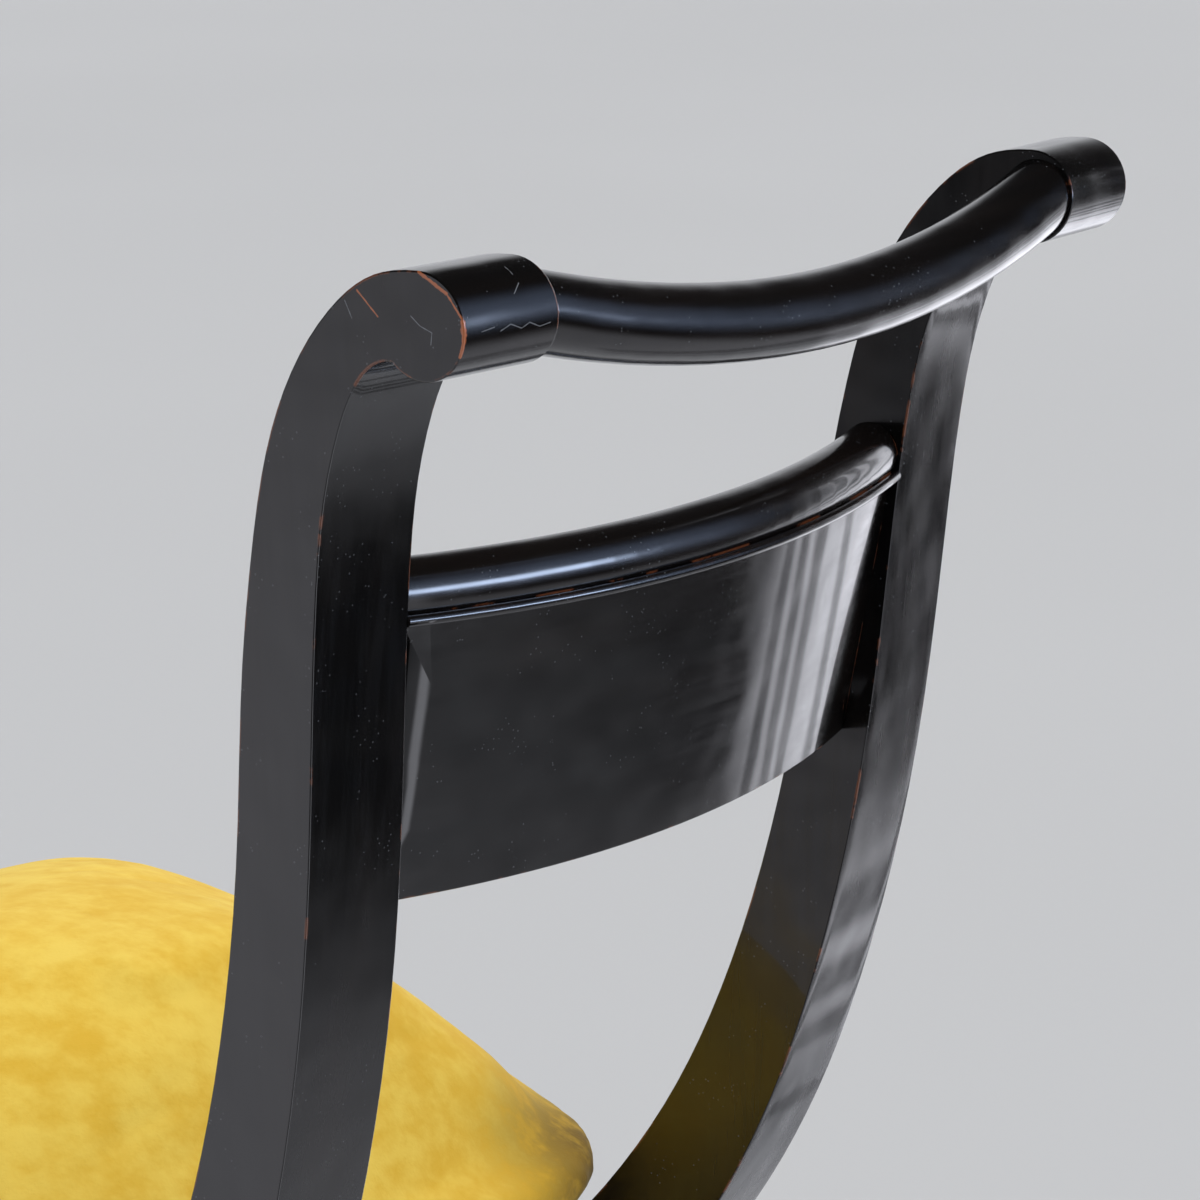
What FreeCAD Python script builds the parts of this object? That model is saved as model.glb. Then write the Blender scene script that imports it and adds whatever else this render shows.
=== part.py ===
# Klismos dining chair: ebonised frame with scroll-topped stiles, a round bowed crest rail,
# a curved back panel with a rolled top, sabre legs and a loose domed velvet seat.
# Millimetres, +Z up. The sitter faces -Y, so the sitter's left is +X.
# The origin is on the floor, at the middle of the chair's length and width.

import FreeCAD
import Part
import math
import os

from FreeCAD import Placement, Rotation, Vector

doc = FreeCAD.newDocument("klismos_chair")
sheet = doc.addObject("Spreadsheet::Sheet", "Sizes")

# Driving dimensions: name, millimetres or degrees, what it is.
SIZES = [
    ("crest_width", 420, "width over the outer ends of the two scrolls"),
    ("crest_height", 835, "height of the scroll axis above the floor"),
    ("stile_width", 46.7, "width of a stile across the chair, and length of its scroll"),
    ("stile_toe", 3.4, "degrees by which the stiles turn in towards the front"),
    ("stile_lean", 2.9, "degrees by which the stiles lean apart towards the top"),
    ("scroll_radius", 17.4, "radius of the rolled end of a stile"),
    ("hook_angle", 225, "degrees round the scroll at which it meets the stile's back"),
    ("foot_setback", 145, "stile back edge ahead of the scroll axis, at the foot"),
    ("foot_length", 62, "length of the stile's foot on the side rail"),
    ("crest_rail_diameter", 27.1, "round crest rail"),
    ("crest_rail_bow", 21.7, "bow of the crest rail between the scrolls"),
    ("crest_rail_tilt", 64, "degrees below level of the plane in which the rail bows"),
    ("crest_rail_back", 2.6, "rail axis behind the scroll axis, at the scroll"),
    ("peg_diameter", 15, "round tenon of the crest rail"),
    ("peg_length", 24, "length of the crest rail's tenon"),
    ("panel_drop", 100.7, "roll of the back panel below the scroll axis"),
    ("panel_setback", 62.4, "roll of the back panel ahead of the scroll axis"),
    ("panel_height", 107.3, "from the roll's axis to the panel's lower edge"),
    ("panel_thickness", 15, "back panel at its lower edge"),
    ("panel_roll_radius", 11.5, "rolled top of the back panel"),
    ("panel_bow", 22.5, "bow of the panel between the stiles"),
    ("panel_rake", 9, "degrees by which the panel leans back"),
    ("panel_face_top", 10.2, "panel's back face behind the roll's axis, at the roll"),
    ("panel_face_foot", 7.7, "the same at the lower edge"),
    ("panel_crease", 2, "hollow radius where the roll meets the back face"),
    ("tongue_thickness", 7, "tongue on each end of the panel"),
    ("tongue_cheek", 2, "tongue ahead of the panel's back face"),
    ("tongue_depth", 9, "how far the tongue enters the stile"),
    ("tongue_shoulder", 9, "tongue short of the roll and of the lower edge"),
    ("rail_top", 390, "top of the seat rails above the floor"),
    ("rail_depth", 50, "height of the seat rails"),
    ("rail_thickness", 38, "thickness of a side rail at the front"),
    ("rail_bend", 250, "radius of the bend in a side rail ahead of the stile"),
    ("knee_radius", 62.8, "hollow at the back of the knee"),
    ("knee_drop", 36.9, "centre of that hollow below the rail top"),
    ("knee_reach", 12, "front of that hollow ahead of the stile's back edge"),
    ("front_joint_width", 492, "width over the side rails at the front legs"),
    ("front_joint_run", 490, "front leg joint ahead of the scroll axis"),
    ("cross_rail_thickness", 28, "front and rear seat rails"),
    ("front_rail_inset", 6, "front seat rail behind the front of the legs"),
    ("rear_rail_run", 200, "front face of the rear seat rail ahead of the scroll axis"),
    ("front_leg_depth", 46, "top block of a front leg along the side rail"),
    ("front_leg_width", 44, "top block of a front leg across"),
    ("front_leg_foot", 33, "length of a front foot on the floor"),
    ("front_leg_throw", 80, "toe ahead of the side rail's end"),
    ("front_leg_sweep", 21, "hollow of the sabre curve of a front leg"),
    ("rear_leg_foot", 38, "length of a rear foot on the floor"),
    ("rear_leg_throw", 26, "heel behind the scroll axis"),
    ("rear_leg_sweep", 26, "hollow of the sabre curve of a rear leg"),
    ("leg_taper", 6, "taper of each leg, each side, at the floor"),
    ("tenon_thickness", 12, "tenons of the seat frame"),
    ("tenon_length", 19, "tenons of the seat frame"),
    ("cross_tenon_length", 13, "tenons of the front and rear rails"),
    ("tenon_shoulder", 8, "shoulder above and below a rail's tenon"),
    ("foot_tenon_length", 22, "upright tenons of the stile and the rear leg"),
    ("foot_tenon_breadth", 26, "upright tenons along the chair"),
    ("joint_clearance", 0.12, "clearance round a tenon"),
    ("seat_lip", 12, "rail left outside the seat's rebate"),
    ("seat_rebate", 18, "depth of the seat's rebate"),
    ("seat_gap", 1, "gap between the loose seat and its rebate"),
    ("seat_rear_run", 187, "back of the loose seat frame ahead of the scroll axis"),
    ("seat_rear_corner", 20, "rear corners cut off the loose seat frame, across"),
    ("seat_notch", 45, "run of the slant that clears the stile's foot"),
    ("seat_front_reach", 32, "front of the loose seat frame ahead of the front leg joint"),
    ("seat_rail_width", 51, "width of the loose seat frame's rails"),
    ("seat_rail_thickness", 18, "thickness of the loose seat frame's rails"),
    ("web_width", 50, "webbing"),
    ("web_thickness", 1.5, "webbing"),
    ("cloth_thickness", 0.8, "hessian and bottoming cloth"),
    ("cover_thickness", 1.5, "velvet cover"),
    ("seat_edge_rise", 56, "shoulder of the cushion above the rail top, at the back"),
    ("seat_crown", 94, "rise of the dome above the cushion's shoulder"),
    ("seat_crown_back", 58, "top of the dome behind the middle of the cushion"),
    ("seat_slope", 23, "how much higher the cushion's shoulder is at the front"),
    ("seat_swell", 9, "how far the cushion swells over the rails"),
    ("seat_clearance", 0.4, "soft parts clear of their neighbours"),
    ("stile_room", 4, "cushion's corner clear of the stile at its nearest"),
    ("block_height", 28, "corner blocks"),
    ("block_leg", 54, "length of a corner block along each rail"),
    ("screw_diameter", 4.5, "wood screws"),
    ("screw_length", 38, "screws that hold the corner blocks"),
    ("screw_head", 8.6, "diameter of a screw's head"),
    ("seat_screw_length", 42, "screws that hold the loose seat"),
]

for row, (alias, value, note) in enumerate(SIZES, start=1):
    sheet.set("A%d" % row, note)
    sheet.set("B%d" % row, str(value))
    sheet.setAlias("B%d" % row, alias)
doc.recompute()


def size(alias):
    return float(sheet.get(alias))


# The sweep of a stile: share of the drop from scroll axis to foot, share of the foot's
# setback that its back edge has there, share of the foot's length that is its depth.
STILE_STATIONS = [
    (0.0898, 0.2524, 0.440),
    (0.1795, 0.3193, 0.456),
    (0.2693, 0.3503, 0.492),
    (0.4040, 0.3862, 0.508),
    (0.5386, 0.4400, 0.540),
    (0.6733, 0.5290, 0.592),
    (0.8080, 0.6628, 0.689),
    (0.9426, 0.8766, 0.873),
]

UP = Vector(0, 0, 1)
ACROSS = Vector(1, 0, 0)
ALONG = Vector(0, 1, 0)


def turned(degrees):
    return Rotation(UP, degrees)


def cosine(degrees):
    return math.cos(math.radians(degrees))


def sine(degrees):
    return math.sin(math.radians(degrees))


# Places on the frame. A side of the chair is built on the sitter's left and mirrored.

LEAN = size("stile_lean")
TOE = size("stile_toe")
FOOT_DROP = (size("crest_height") - size("rail_top")) / cosine(LEAN)
RAIL_BOTTOM = size("rail_top") - size("rail_depth")


def stile_frame(crest_y):
    turn = turned(-TOE) * Rotation(ALONG, LEAN)
    return Placement(Vector(size("crest_width") / 2, crest_y, size("crest_height")), turn)


def leg_frame(crest_y):
    foot = stile_frame(crest_y).multVec(Vector(0, 0, -FOOT_DROP))
    return Placement(Vector(foot.x, foot.y, 0), turned(-TOE))


def block_corner(crest_y):
    """Outer front corner of the knee block, where the side rail starts to bend out."""
    return leg_frame(crest_y).multVec(Vector(0, -size("foot_setback") - size("foot_length"), 0))


def rail_end(crest_y):
    """Outer corner of the joint between the side rail and the front leg."""
    return Vector(size("front_joint_width") / 2, crest_y - size("front_joint_run"), 0)


def rail_splay(crest_y):
    run = block_corner(crest_y) - rail_end(crest_y)
    return math.degrees(math.atan2(-run.x, run.y))


def front_frame(crest_y):
    return Placement(rail_end(crest_y), turned(rail_splay(crest_y)))


def middle_shift():
    """Where the scroll axis lies when the chair's length is centred on the origin."""
    taper = size("leg_taper")
    toe = Vector(taper - size("front_leg_width"), -size("front_leg_throw"), 0)
    heel = Vector(taper - size("stile_width"), size("rear_leg_throw"), 0)
    front = front_frame(0).multVec(toe).y
    back = leg_frame(0).multVec(heel).y
    return -(front + back) / 2


CREST_Y = middle_shift()
STILE = stile_frame(CREST_Y)
REAR = leg_frame(CREST_Y)
FRONT = front_frame(CREST_Y)
SPLAY = rail_splay(CREST_Y)


def stile_point(depth, back, rise):
    """A point of the left stile: depth in from its outer face, behind and above the axis."""
    return STILE.multVec(Vector(-depth * cosine(LEAN), back, rise - depth * sine(LEAN)))


def meet(point, way, other, other_way):
    """Where two lines of the plan cross."""
    gap = other - point
    share = (gap.x * other_way.y - gap.y * other_way.x) / (way.x * other_way.y - way.y * other_way.x)
    return point + way * share


RAIL_WAY = FRONT.Rotation.multVec(ALONG)
BLOCK_WAY = REAR.Rotation.multVec(ALONG)
BLOCK_INNER = REAR.multVec(Vector(-size("stile_width"), -size("foot_setback") - size("foot_length"), 0))
RAIL_INNER = FRONT.multVec(Vector(-size("rail_thickness"), 0, 0))
INNER_WAY = BLOCK_INNER - RAIL_INNER


def across_at(point, way, y):
    """Distance from the middle of the chair at which a line of the plan reaches y."""
    return meet(point, way, Vector(0, y, 0), ACROSS).x


# Helpers that make the document's objects.


def bind(thing, **links):
    for name, alias in links.items():
        thing.setExpression(name, "Sizes." + alias)


def new_body(label, place=None):
    body = doc.addObject("PartDesign::Body", label)
    body.Label = label
    if place:
        body.Placement = place
    return body


def sketch_on(body, role, label, edges):
    sketch = body.newObject("Sketcher::SketchObject", label)
    plane = [f for f in body.Origin.OriginFeatures if f.Role == role][0]
    sketch.AttachmentSupport = [(plane, "")]
    sketch.MapMode = "FlatFace"
    for edge in edges:
        sketch.addGeometry(edge, False)
    return sketch


def outline(points):
    """Straight edges round a closed outline of plan or profile points."""
    flat = [Vector(p.x, p.y, 0) for p in points]
    return [Part.LineSegment(a, b) for a, b in zip(flat, flat[1:] + flat[:1])]


def pad(body, sketch, label, length=None, alias=None, reverse=False, both=False):
    feature = body.newObject("PartDesign::Pad", label)
    feature.Profile = sketch
    feature.Reversed = reverse
    feature.Midplane = both
    if alias:
        bind(feature, Length=alias)
    else:
        feature.Length = length
    return feature


def prism(label, points, bottom, height=None, alias=None):
    """A flat piece: its plan outline padded up from a height above the floor."""
    body = new_body(label, Placement(Vector(0, 0, bottom), Rotation()))
    sketch = sketch_on(body, "XY_Plane", label + "_plan", outline(points))
    pad(body, sketch, label + "_pad", height, alias)
    return body


def box(label, place, length, width, height, **links):
    block = doc.addObject("Part::Box", label)
    block.Length = length
    block.Width = width
    block.Height = height
    block.Placement = place
    bind(block, **links)
    return block


def joined(label, pieces):
    fuse = doc.addObject("Part::MultiFuse", label)
    fuse.Label = label
    fuse.Shapes = pieces
    fuse.Refine = True
    return fuse


def less(label, base, tools):
    """A piece with the shapes of its mortises and rebates taken out of it."""
    tool = tools[0]
    if len(tools) > 1:
        tool = doc.addObject("Part::Compound", label + "_waste")
        tool.Links = tools
    cut = doc.addObject("Part::Cut", label)
    cut.Label = label
    cut.Base = base
    cut.Tool = tool
    cut.Refine = True
    return cut


def mirrored(label, source):
    twin = doc.addObject("Part::Mirroring", label)
    twin.Label = label
    twin.Source = source
    twin.Normal = ACROSS
    return twin


def tenon(label, place, length, width, height):
    """A tenon and the slightly larger shape of its mortise, both from the same place."""
    room = size("joint_clearance")
    peg = box(label, place, length, width, height)
    start = place.multVec(Vector(-room, -room, -room))
    socket = box(label + "_mortise", Placement(start, place.Rotation),
                 length + 2 * room, width + 2 * room, height + 2 * room)
    return peg, socket


# Stile: sawn to its side profile, with the scroll rolled back at the top.


def scroll_point(degrees):
    return Vector(size("scroll_radius") * cosine(degrees), size("scroll_radius") * sine(degrees), 0)


def swept_curve(points, start, end):
    """A smooth curve through points that leaves along start and arrives along end."""
    curve = Part.BSplineCurve()
    curve.interpolate(Points=points, InitialTangent=Vector(start).normalize(),
                      FinalTangent=Vector(end).normalize(), Scale=False)
    return curve


def stile_edges():
    radius = size("scroll_radius")
    hook = scroll_point(size("hook_angle"))
    foot_back = Vector(-size("foot_setback"), -FOOT_DROP, 0)
    foot_front = Vector(-size("foot_setback") - size("foot_length"), -FOOT_DROP, 0)
    back = [hook]
    front = [Vector(0, radius, 0), scroll_point(90) + Vector(-1.05 * radius, -0.16 * radius, 0),
             Vector(-2.1 * radius, 0.14 * radius, 0)]
    for drop, setback, depth in STILE_STATIONS:
        edge = Vector(-setback * size("foot_setback"), -drop * FOOT_DROP, 0)
        back.append(edge)
        front.append(edge - Vector(depth * size("foot_length"), 0, 0))
    back.append(foot_back)
    front.append(foot_front)
    front_curve = swept_curve(front, Vector(-1, 0, 0), Vector(-1.15, -1, 0))
    back_curve = swept_curve(back, Vector(-1, 0.05, 0), Vector(-0.73, -1, 0))
    circle = Part.Circle(Vector(0, 0, 0), UP, radius)
    scroll = Part.ArcOfCircle(circle, math.radians(size("hook_angle") - 360), math.radians(90))
    return [front_curve, Part.LineSegment(foot_front, foot_back), back_curve, scroll]


def sawn_stile(label, shift=None):
    body = new_body(label, Placement(STILE.Base + (shift or Vector()), STILE.Rotation))
    sketch = sketch_on(body, "YZ_Plane", label + "_profile", stile_edges())
    feature = pad(body, sketch, label + "_pad", alias="stile_width")
    feature.UseCustomVector = True
    feature.Direction = Vector(-cosine(LEAN), 0, -sine(LEAN))
    feature.AlongSketchNormal = False
    return body


def stile_side(label, depth):
    """A plain block that fills a stile's plane from its outer face to a depth."""
    reach = size("crest_height")
    corner = STILE.multVec(Vector(-depth * cosine(LEAN), -reach / 2, -reach))
    return box(label, Placement(corner, STILE.Rotation), depth * cosine(LEAN) + reach, reach, 2 * reach)


stile_blank = sawn_stile("stile_blank")

# Crest rail: a round bar bent to a shallow bow, cut to the stiles' inner faces,
# with a round tenon into each scroll.


def crest_rail_and_sockets():
    back = size("crest_rail_back")
    width = size("stile_width")
    end = stile_point(width, back, 0)
    bow = size("crest_rail_bow")
    bend = (end.x ** 2 + bow ** 2) / (2 * bow)
    reach = 2 * math.degrees(math.asin((end.x + width / 2) / bend))
    tilt = Rotation(ACROSS, -size("crest_rail_tilt"))
    middle = Vector(0, end.y, end.z)
    centre = middle + tilt.multVec(Vector(0, bow - bend, 0))
    bar = doc.addObject("Part::Torus", "crest_bar")
    bar.Radius1 = bend
    bar.setExpression("Radius2", "Sizes.crest_rail_diameter / 2")
    bar.Angle3 = reach
    bar.Placement = Placement(centre, tilt * turned(90 - reach / 2))
    left_side = stile_side("crest_left_shoulder", width)
    right_side = mirrored("crest_right_shoulder", left_side)
    shaft = less("crest_shaft", bar, [left_side, right_side])
    length = size("peg_length")
    overlap = length / 3
    inward = STILE.Rotation.multVec(Vector(-cosine(LEAN), 0, -sine(LEAN)))
    turn = Rotation(UP, inward)
    pegs = []
    for label, room in (("crest_peg", 0), ("crest_peg_socket", size("joint_clearance"))):
        peg = doc.addObject("Part::Cylinder", label)
        peg.Radius = size("peg_diameter") / 2 + room
        peg.Height = length + overlap + 2 * room
        peg.Placement = Placement(end - inward * (length + room), turn)
        pegs.append(peg)
    rail = joined("crest_rail", [shaft, pegs[0], mirrored("crest_peg_right", pegs[0])])
    return rail, pegs[1]


crest_rail, peg_socket = crest_rail_and_sockets()

# Back panel: bowed in plan, its top rolled over backwards, with a tongue at each end.


def panel_middle():
    """Axis of the panel's roll where it meets a stile, and the radius of its bow."""
    end = stile_point(size("stile_width"), -size("panel_setback"), -size("panel_drop"))
    bow = size("panel_bow")
    bend = (end.x ** 2 + bow ** 2) / (2 * bow)
    return end, bend


PANEL_END, PANEL_BEND = panel_middle()


def panel_section():
    roll = size("panel_roll_radius")
    foot = -size("panel_height")
    face_top = size("panel_face_top")
    face_foot = size("panel_face_foot")
    crease_angle = math.degrees(math.acos(face_top / roll))
    hollow = size("panel_crease")
    centre_y = face_top + hollow
    centre_z = -math.sqrt((roll + hollow) ** 2 - centre_y ** 2)
    shift = Vector(PANEL_BEND, 0, 0)
    on_roll = Vector(centre_y, centre_z, 0) * (roll / (roll + hollow))
    on_face = Vector(face_top, centre_z, 0)
    hollow_mid = Vector(centre_y, centre_z, 0) + Vector(-sine(crease_angle), cosine(crease_angle), 0) * hollow
    back_foot = Vector(face_foot, foot, 0)
    front_foot = Vector(face_foot - size("panel_thickness"), foot, 0)
    front_top = Vector(-roll, 0, 0)
    top = Vector(0, roll, 0)
    turn = [front_top, top, on_roll, hollow_mid, on_face, back_foot, front_foot]
    front_top, top, on_roll, hollow_mid, on_face, back_foot, front_foot = [p + shift for p in turn]
    return [Part.Arc(front_top, top, on_roll), Part.Arc(on_roll, hollow_mid, on_face),
            Part.LineSegment(on_face, back_foot), Part.LineSegment(back_foot, front_foot),
            Part.LineSegment(front_foot, front_top)]


def tongue_section(room):
    half = size("tongue_thickness") / 2 + room
    middle = size("panel_face_foot") - size("tongue_cheek") - size("tongue_thickness") / 2
    top = -size("panel_roll_radius") - size("tongue_shoulder") / 2 + room
    foot = size("tongue_shoulder") - size("panel_height") - room
    near = PANEL_BEND + middle - half
    far = PANEL_BEND + middle + half
    return outline([Vector(near, foot, 0), Vector(far, foot, 0), Vector(far, top, 0), Vector(near, top, 0)])


def bowed(label, edges, reach):
    """A section swept round the panel's bow, far enough to pass into the stiles."""
    tilt = Rotation(ACROSS, -size("panel_rake"))
    middle = Vector(0, PANEL_END.y, PANEL_END.z) + tilt.multVec(Vector(0, size("panel_bow"), 0))
    body = new_body(label, Placement(middle - tilt.multVec(Vector(0, PANEL_BEND, 0)), tilt))
    sketch = sketch_on(body, "YZ_Plane", label + "_section", edges)
    turn = body.newObject("PartDesign::Revolution", label + "_sweep")
    turn.Profile = sketch
    turn.ReferenceAxis = (sketch, ["V_Axis"])
    turn.Midplane = True
    turn.Angle = 2 * math.degrees(math.asin((PANEL_END.x + reach) / PANEL_BEND))
    return body


def back_panel_and_groove():
    width = size("stile_width")
    board = bowed("panel_board", panel_section(), width / 2)
    shoulder = stile_side("panel_left_shoulder", width)
    board = less("panel_between", board, [shoulder, mirrored("panel_right_shoulder", shoulder)])
    tongue = bowed("panel_tongue", tongue_section(0), width)
    stop = stile_side("tongue_left_stop", width - size("tongue_depth"))
    tongue = less("tongue_between", tongue, [stop, mirrored("tongue_right_stop", stop)])
    room = size("joint_clearance")
    groove = bowed("panel_groove", tongue_section(room), width)
    bed = stile_side("groove_left_stop", width - size("tongue_depth") - room)
    groove = less("groove_between", groove, [bed, mirrored("groove_right_stop", bed)])
    return joined("back_panel", [board, tongue]), groove


back_panel, panel_groove = back_panel_and_groove()

# Upright tenons of the stile's foot and the rear leg, both into the knee of the side rail.


def upright_tenon(label, bottom, height):
    breadth = size("foot_tenon_breadth")
    thick = size("tenon_thickness")
    middle = Vector(-size("stile_width") / 2, -size("foot_setback") - size("foot_length") / 2, 0)
    corner = REAR.multVec(middle + Vector(-thick / 2, -breadth / 2, bottom))
    return tenon(label, Placement(corner, REAR.Rotation), thick, breadth, height)


overlap = 3
foot_tenon, foot_mortise = upright_tenon("stile_tenon", size("rail_top") - size("foot_tenon_length"),
                                         size("foot_tenon_length") + overlap)
leg_tenon, leg_mortise = upright_tenon("rear_leg_tenon", RAIL_BOTTOM - overlap,
                                       size("foot_tenon_length") + overlap)

left_stile = less("left_stile", joined("stile_with_tenon", [stile_blank, foot_tenon]),
                  [peg_socket, panel_groove])
right_stile = mirrored("right_stile", left_stile)

# Seat well: the plan of the loose seat, notched round the stiles' feet.


def lip_line(grow):
    """A point on the line of the rebate's lip along the left side rail."""
    return FRONT.multVec(Vector(grow - size("seat_lip") - size("seat_gap"), 0, 0))


def seat_front_run():
    """Front of the loose seat frame ahead of the scroll axis."""
    return size("front_joint_run") + size("seat_front_reach")


def seat_half(grow):
    """Left half of the seat frame's plan, from the middle of the back round to the front."""
    rear_y = CREST_Y - size("seat_rear_run") + grow
    notch_y = block_corner(CREST_Y).y + 4 * size("seat_gap")
    front_y = CREST_Y - seat_front_run() - grow
    rear_x = across_at(BLOCK_INNER, BLOCK_WAY, notch_y) - size("seat_gap") - size("seat_clearance") + grow
    slant_y = notch_y - size("seat_notch")
    lip = lip_line(grow)
    return [Vector(rear_x - size("seat_rear_corner"), rear_y, 0), Vector(rear_x, notch_y, 0),
            Vector(across_at(lip, RAIL_WAY, slant_y), slant_y, 0),
            Vector(across_at(lip, RAIL_WAY, front_y), front_y, 0)]


def both_halves(points):
    """A plan outline from its left half, mirrored about the middle of the chair."""
    return points + [Vector(-p.x, p.y, 0) for p in reversed(points)]


SEAT_LEDGE = size("rail_top") - size("seat_rebate")
seat_well = prism("seat_well", both_halves(seat_half(size("seat_gap"))), SEAT_LEDGE, 4 * size("seat_rebate"))

# Side rail: cut from thick plank to its plan, with the knee hollowed at the back.


def bent_outline():
    """Plan of the left side rail, its bend between the knee and the straight as an arc."""
    back = -size("foot_setback") + size("knee_radius") / 4
    outer_back = REAR.multVec(Vector(0, back, 0))
    inner_back = REAR.multVec(Vector(-size("stile_width"), back, 0))
    corner = block_corner(CREST_Y)
    corner = Vector(corner.x, corner.y, 0)
    outer_front = rail_end(CREST_Y)
    turn = math.radians(SPLAY + TOE)
    run = size("rail_bend") * math.tan(turn / 2)
    start = corner + BLOCK_WAY * run
    end = corner - RAIL_WAY * run
    centre = start + REAR.Rotation.multVec(ACROSS) * size("rail_bend")
    middle = centre + (corner - centre).normalize() * size("rail_bend")
    straight = [Vector(p.x, p.y, 0) for p in (end, outer_front, RAIL_INNER, BLOCK_INNER, inner_back,
                                              outer_back, start)]
    edges = [Part.LineSegment(a, b) for a, b in zip(straight, straight[1:])]
    edges.append(Part.Arc(start, middle, end))
    return edges


def knee_hollow():
    radius = size("knee_radius")
    centre_y = -size("foot_setback") - size("knee_reach") + radius
    start = REAR.multVec(Vector(radius, centre_y, size("rail_top") - size("knee_drop")))
    hollow = doc.addObject("Part::Cylinder", "knee_hollow")
    hollow.Height = 3 * radius
    hollow.Placement = Placement(start, REAR.Rotation * Rotation(ALONG, -90))
    bind(hollow, Radius="knee_radius")
    return hollow


def rail_tenon():
    """Tenon of the side rail into the front leg."""
    thick = size("tenon_thickness")
    height = size("rail_depth") - size("seat_rebate") - 2 * size("tenon_shoulder")
    corner = Vector(-(size("rail_thickness") + thick) / 2, -size("tenon_length"),
                    RAIL_BOTTOM + size("tenon_shoulder"))
    return tenon("side_rail_tenon", Placement(FRONT.multVec(corner), FRONT.Rotation),
                 thick, size("tenon_length") + overlap, height)


def cross_tenon(label, inner_x, middle_y, thick):
    """Tenon at the left end of a cross rail, from its shoulder outwards."""
    height = size("rail_depth") - size("seat_rebate") - 2 * size("tenon_shoulder")
    corner = Vector(inner_x - 2 * overlap, middle_y - thick / 2, RAIL_BOTTOM + size("tenon_shoulder"))
    return tenon(label, Placement(corner, Rotation()), size("cross_tenon_length") + 2 * overlap, thick, height)


side_tenon, side_mortise = rail_tenon()
LEG_INNER = FRONT.multVec(Vector(-size("front_leg_width"), 0, 0))
FRONT_RAIL_FACE = FRONT.multVec(Vector(-size("front_leg_width"), size("front_rail_inset")
                                       - size("front_leg_depth"), 0)).y
FRONT_RAIL_BACK = FRONT_RAIL_FACE + size("cross_rail_thickness")
REAR_RAIL_FACE = CREST_Y - size("rear_rail_run")
REAR_RAIL_BACK = REAR_RAIL_FACE + size("cross_rail_thickness")
front_middle = (FRONT_RAIL_FACE + FRONT_RAIL_BACK) / 2
rear_middle = (REAR_RAIL_FACE + REAR_RAIL_BACK) / 2
front_tenon, front_mortise = cross_tenon("front_rail_tenon", across_at(LEG_INNER, RAIL_WAY, front_middle),
                                         front_middle, size("tenon_thickness"))
rear_tenon, rear_mortise = cross_tenon("rear_rail_tenon", across_at(BLOCK_INNER, BLOCK_WAY, rear_middle),
                                       rear_middle, size("tenon_thickness"))

# Wood screws: a countersunk head, a shank and a point, turned about their axis.


def screw(label, place, length, room=0, reach=0):
    """A screw, or with room and reach the hole for one with a bore that lets its head in."""
    radius = size("screw_diameter") / 2 + room
    head = size("screw_head") / 2 + room
    sink = head - radius
    profile = [Vector(0, -reach, 0), Vector(head, -reach, 0)]
    if reach:
        profile.append(Vector(head, 0, 0))
    profile += [Vector(radius, sink, 0), Vector(radius, length - radius, 0), Vector(0, length + room, 0)]
    body = new_body(label, place)
    sketch = sketch_on(body, "XZ_Plane", label + "_half", outline(profile))
    turn = body.newObject("PartDesign::Revolution", label + "_turn")
    turn.Profile = sketch
    turn.ReferenceAxis = (sketch, ["V_Axis"])
    turn.Angle = 360
    return body


# Corner blocks: glued into the four corners of the frame, each held by two screws,
# with a third screw up through it into the loose seat.


def inner_rail_point(y):
    """A point on the inner face of the left side rail."""
    return Vector(across_at(RAIL_INNER, INNER_WAY, y), y, 0)


CLOTH = size("cloth_thickness")
BLOCK_TOP = SEAT_LEDGE - CLOTH - size("seat_clearance") / 2
BLOCK_BOTTOM = BLOCK_TOP - size("block_height")
NOSE = size("block_leg") / 5


def rear_block_plan():
    corner = Vector(across_at(BLOCK_INNER, BLOCK_WAY, REAR_RAIL_FACE), REAR_RAIL_FACE, 0)
    knee = Vector(BLOCK_INNER.x, BLOCK_INNER.y, 0)
    on_cross = corner - ACROSS * size("block_leg")
    on_side = inner_rail_point(REAR_RAIL_FACE - size("block_leg"))
    return corner, [corner, knee, on_side, on_side - ACROSS * NOSE, on_cross - ALONG * NOSE, on_cross]


def front_block_plan():
    """As the rear one, but notched round the inner corner of the front leg."""
    gap = size("seat_gap")
    corner = inner_rail_point(FRONT_RAIL_BACK)
    on_cross = corner - ACROSS * size("block_leg")
    on_side = inner_rail_point(FRONT_RAIL_BACK + size("block_leg"))
    leg_x = LEG_INNER.x - gap
    leg_y = RAIL_INNER.y + gap
    notch = [Vector(leg_x, FRONT_RAIL_BACK, 0), Vector(leg_x, leg_y, 0), inner_rail_point(leg_y)]
    return corner, notch + [on_side, on_side - ACROSS * NOSE, on_cross + ALONG * NOSE, on_cross]


def block_screws(label, corner, along):
    """Two level screws near the ends of a block and one upright screw behind its corner."""
    end = size("block_leg") - NOSE
    level = (BLOCK_TOP + BLOCK_BOTTOM) / 2
    depth = 2 * NOSE - size("screw_head") / 2
    to_cross = corner + Vector(-end, along * depth, level)
    to_side = inner_rail_point(corner.y + along * end) + Vector(-depth, 0, level)
    seat = corner + Vector(-2 * NOSE, 2 * NOSE * along, BLOCK_BOTTOM)
    length = size("screw_length")
    places = [(to_cross, Vector(0, -along, 0), length), (to_side, ACROSS, length),
              (seat, UP, size("seat_screw_length"))]
    made = []
    for part, (point, way, reach) in zip(("_cross", "_side", "_seat"), places):
        place = Placement(point, Rotation(UP, way))
        made.append((screw(label + part, place, reach),
                     screw(label + part + "_hole", place, reach, size("joint_clearance"), NOSE)))
    return made


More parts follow.
